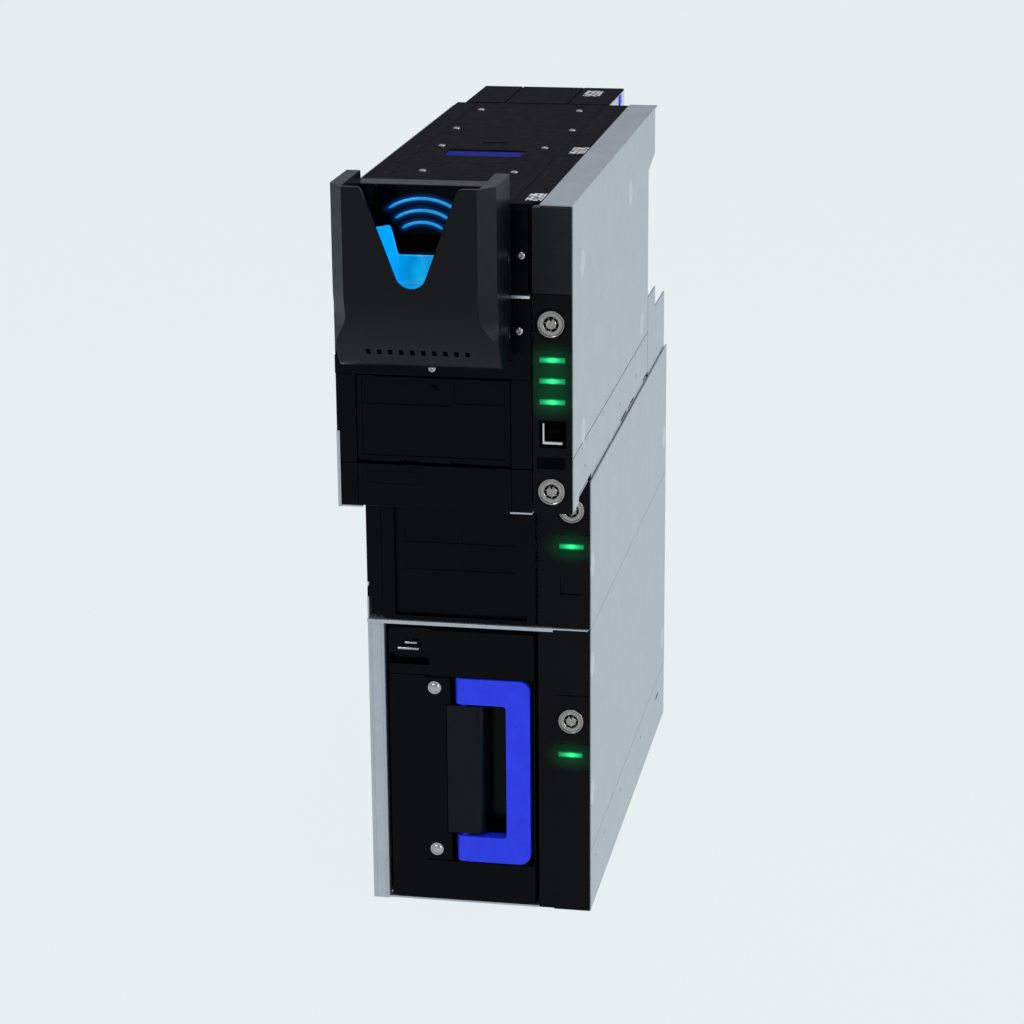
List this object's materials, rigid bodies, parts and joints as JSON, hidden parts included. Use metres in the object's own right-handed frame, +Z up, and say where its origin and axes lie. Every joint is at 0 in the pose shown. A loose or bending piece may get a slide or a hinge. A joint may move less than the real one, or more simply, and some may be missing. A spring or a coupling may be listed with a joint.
{
  "type": "bill validator",
  "caption": "Tall modular banknote validator: lit note bezel and hinged-cover head on telescopic rails over a locked recycling cassette and a locked cash box with a swing handle.",
  "frame": {"origin": "centre of the four base bolts on the underside of the base", "axes": "+Z up, -Y is the front with the bezel, +X to the right seen from the front"},
  "size_m": [0.176, 0.619, 0.607],
  "materials": {
    "galvanised": "satin",
    "black_plastic": "satin",
    "nickel": "polished",
    "bright_steel": "polished",
    "green_lens": "gloss",
    "light_guide": "gloss",
    "signal_panel": "gloss",
    "rubber": "matte",
    "blue_plastic": "satin",
    "slate_plastic": "satin",
    "board": "satin",
    "white_plastic": "satin"
  },
  "bodies": {
    "chassis": {"base_tray": "galvanised", "left_wall_lower": "galvanised", "right_wall_lower": "galvanised", "rear_wall": "galvanised", "shelf_plate": "galvanised", "lower_column": "black_plastic", "middle_column": "black_plastic", "bay_lock_bodies": "nickel", "bay_lenses": "green_lens", "middle_left_wall": "galvanised", "middle_right_wall": "galvanised", "middle_frame": "black_plastic", "fixed_rails": "galvanised", "rear_posts": "galvanised"},
    "rail_carriage": {"middle_rails": "galvanised"},
    "head": {"head_rails": "galvanised", "head_left_panel": "galvanised", "head_right_panel": "galvanised", "head_rail_panels": "galvanised", "head_tray": "galvanised", "head_column": "black_plastic", "head_lock_bodies": "nickel", "head_lenses": "green_lens", "service_port": "black_plastic", "front_jambs": "black_plastic", "bottom_bar": "black_plastic", "bezel_plate": "black_plastic", "bezel": "black_plastic", "light_guide": "light_guide", "signal_panel": "signal_panel", "bezel_screws": "bright_steel", "note_bed": "black_plastic", "drive_motor": "bright_steel", "drive_belt": "rubber", "control_board": "board", "head_rims": "black_plastic", "rear_transport": "black_plastic"},
    "main_lid": {"main_cover": "black_plastic", "cover_screws": "bright_steel"},
    "latch": {"cover_latch": "blue_plastic"},
    "front_lid": {"front_cover": "black_plastic"},
    "flap": {"flap_door": "black_plastic"},
    "feed_roller": {"feed_shaft": "rubber"},
    "transport_roller": {"transport_shaft": "rubber"},
    "motor_rotor": {"motor_pulley": "white_plastic"},
    "cash_box": {"box_shell": "black_plastic", "box_front": "black_plastic", "handle_cover": "slate_plastic", "box_studs": "bright_steel", "latch_staple": "bright_steel"},
    "carry_handle": {"box_handle": "blue_plastic"},
    "pusher": {"pusher_plate": "black_plastic"},
    "cassette": {"cassette_shell": "black_plastic", "cassette_front": "black_plastic"},
    "front_drum_body": {"front_drum": "white_plastic"},
    "rear_drum_body": {"rear_drum": "white_plastic"},
    "lower_lock": {"lower_lock_plug": "nickel"},
    "middle_lock": {"middle_lock_plug": "nickel"},
    "upper_head_lock": {"upper_head_lock_plug": "nickel"},
    "lower_head_lock": {"lower_head_lock_plug": "nickel"}
  },
  "joints": [
    {"name": "head_slide", "type": "slide", "parent": "chassis", "child": "head", "axis": [0, -1, 0], "range_m": [0, 0.3]},
    {"name": "carriage_slide", "type": "slide", "parent": "chassis", "child": "rail_carriage", "axis": [0, -1, 0], "range_m": [0, 0.15]},
    {"name": "main_cover_hinge", "type": "hinge", "parent": "head", "child": "main_lid", "pos_m": [-0.0125, 0.1445, 0.5814], "axis": [-1, 0, 0], "range_deg": [0, 70]},
    {"name": "cover_latch_slide", "type": "slide", "parent": "main_lid", "child": "latch", "axis": [0, 1, 0], "range_m": [0, 0.006], "stiffness_N_per_m": 300, "springref_m": -0.004},
    {"name": "front_cover_hinge", "type": "hinge", "parent": "head", "child": "front_lid", "pos_m": [-0.0125, -0.1475, 0.5814], "axis": [-1, 0, 0], "range_deg": [0, 70]},
    {"name": "flap_hinge", "type": "hinge", "parent": "head", "child": "flap", "pos_m": [-0.015, -0.3045, 0.3938], "axis": [1, 0, 0], "range_deg": [0, 90]},
    {"name": "feed_roller_spin", "type": "hinge", "parent": "head", "child": "feed_roller", "pos_m": [-0.015, -0.251, 0.5445], "axis": [1, 0, 0], "continuous": true},
    {"name": "transport_roller_spin", "type": "hinge", "parent": "head", "child": "transport_roller", "pos_m": [-0.015, 0.036, 0.5445], "axis": [1, 0, 0], "continuous": true},
    {"name": "motor_spin", "type": "hinge", "parent": "head", "child": "motor_rotor", "pos_m": [-0.015, -0.1075, 0.5065], "axis": [1, 0, 0], "continuous": true},
    {"name": "cash_box_slide", "type": "slide", "parent": "chassis", "child": "cash_box", "axis": [0, -1, 0], "range_m": [0, 0.4]},
    {"name": "carry_handle_hinge", "type": "hinge", "parent": "cash_box", "child": "carry_handle", "pos_m": [-0.013, -0.22, 0.1142], "axis": [0, 0, -1], "range_deg": [0, 90]},
    {"name": "pusher_slide", "type": "slide", "parent": "cash_box", "child": "pusher", "axis": [0, 0, -1], "range_m": [0, 0.13], "stiffness_N_per_m": 60, "springref_m": -0.05},
    {"name": "cassette_slide", "type": "slide", "parent": "chassis", "child": "cassette", "axis": [0, -1, 0], "range_m": [0, 0.3]},
    {"name": "front_drum_spin", "type": "hinge", "parent": "cassette", "child": "front_drum_body", "pos_m": [-0.015, -0.1526, 0.2951], "axis": [1, 0, 0], "continuous": true},
    {"name": "rear_drum_spin", "type": "hinge", "parent": "cassette", "child": "rear_drum_body", "pos_m": [-0.015, -0.0426, 0.2951], "axis": [1, 0, 0], "continuous": true},
    {"name": "lower_lock_turn", "type": "hinge", "parent": "chassis", "child": "lower_lock", "pos_m": [0.0728, -0.225, 0.1605], "axis": [0, -1, 0], "range_deg": [0, 90]},
    {"name": "middle_lock_turn", "type": "hinge", "parent": "chassis", "child": "middle_lock", "pos_m": [0.0735, -0.225, 0.3325], "axis": [0, -1, 0], "range_deg": [0, 90]},
    {"name": "upper_head_lock_turn", "type": "hinge", "parent": "head", "child": "upper_head_lock", "pos_m": [0.0724, -0.309, 0.4975], "axis": [0, -1, 0], "range_deg": [0, 90]},
    {"name": "lower_head_lock_turn", "type": "hinge", "parent": "head", "child": "lower_head_lock", "pos_m": [0.0724, -0.309, 0.372], "axis": [0, -1, 0], "range_deg": [0, 90]}
  ],
  "couplings": [
    {"joint": "carriage_slide", "follows": "head_slide", "ratio": 0.5},
    {"joint": "transport_roller_spin", "follows": "feed_roller_spin", "ratio": 1},
    {"joint": "motor_spin", "follows": "feed_roller_spin", "ratio": 1}
  ]
}
